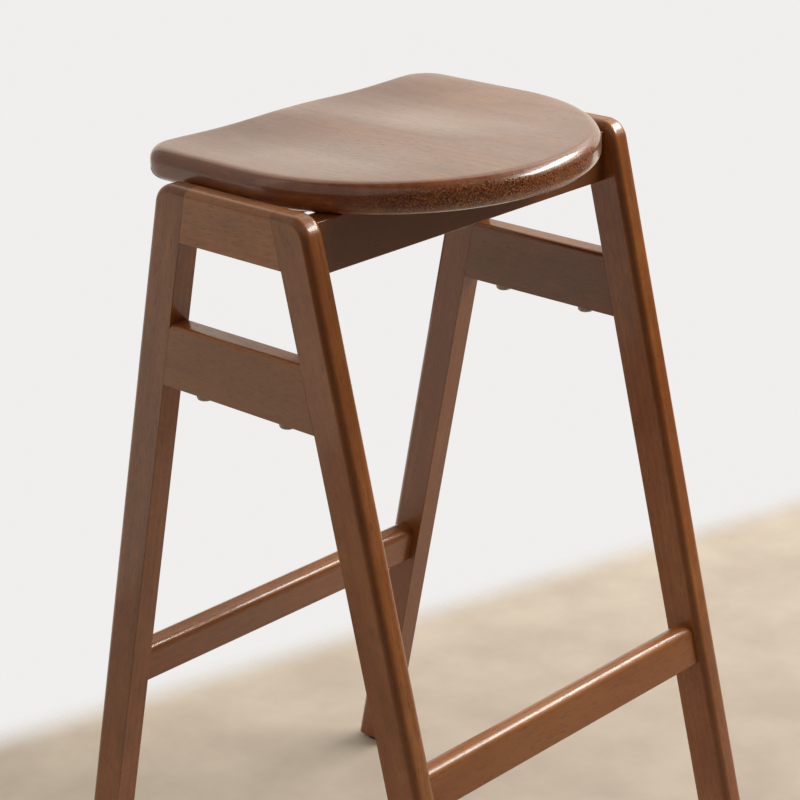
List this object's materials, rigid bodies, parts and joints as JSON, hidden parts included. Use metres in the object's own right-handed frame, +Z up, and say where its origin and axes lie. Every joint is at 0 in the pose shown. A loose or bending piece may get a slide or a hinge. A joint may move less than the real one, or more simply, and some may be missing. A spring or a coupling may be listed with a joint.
{
  "type": "bar stool",
  "caption": "Bar stool with a D-shaped wooden saddle seat held between two A-shaped side frames, with a footrest at front and back.",
  "frame": {"origin": "on the floor, under the middle of the two side frames", "axes": "+X to the stool's right, +Y to its back, +Z up; a person sits facing -Y"},
  "size_m": [0.404, 0.5122, 0.75],
  "materials": {
    "frame_timber": "walnut-brown stain under satin to gloss lacquer",
    "seat_timber": "walnut-brown stain under gloss lacquer",
    "dowel_timber": "unfinished beech",
    "screw_steel": "zinc plated",
    "pad_rubber": "translucent grey rubber",
    "glide_plastic": "matt black plastic"
  },
  "bodies": {
    "root": {"seat": "seat_timber", "left_front_leg": "frame_timber", "left_back_leg": "frame_timber", "right_front_leg": "frame_timber", "right_back_leg": "frame_timber", "left_top_rail": "frame_timber", "right_top_rail": "frame_timber", "left_cross_rail": "frame_timber", "right_cross_rail": "frame_timber", "front_seat_rail": "frame_timber", "back_seat_rail": "frame_timber", "front_footrest": "frame_timber", "back_footrest": "frame_timber", "left_top_rail_dowels": "dowel_timber", "right_top_rail_dowels": "dowel_timber", "left_cross_rail_dowels": "dowel_timber", "right_cross_rail_dowels": "dowel_timber", "front_seat_rail_dowels": "dowel_timber", "back_seat_rail_dowels": "dowel_timber", "front_footrest_dowels": "dowel_timber", "back_footrest_dowels": "dowel_timber", "front_seat_screws": "screw_steel", "back_seat_screws": "screw_steel", "left_stacking_pads": "pad_rubber", "right_stacking_pads": "pad_rubber", "left_front_glide": "glide_plastic", "left_back_glide": "glide_plastic", "right_front_glide": "glide_plastic", "right_back_glide": "glide_plastic"}
  },
  "joints": []
}
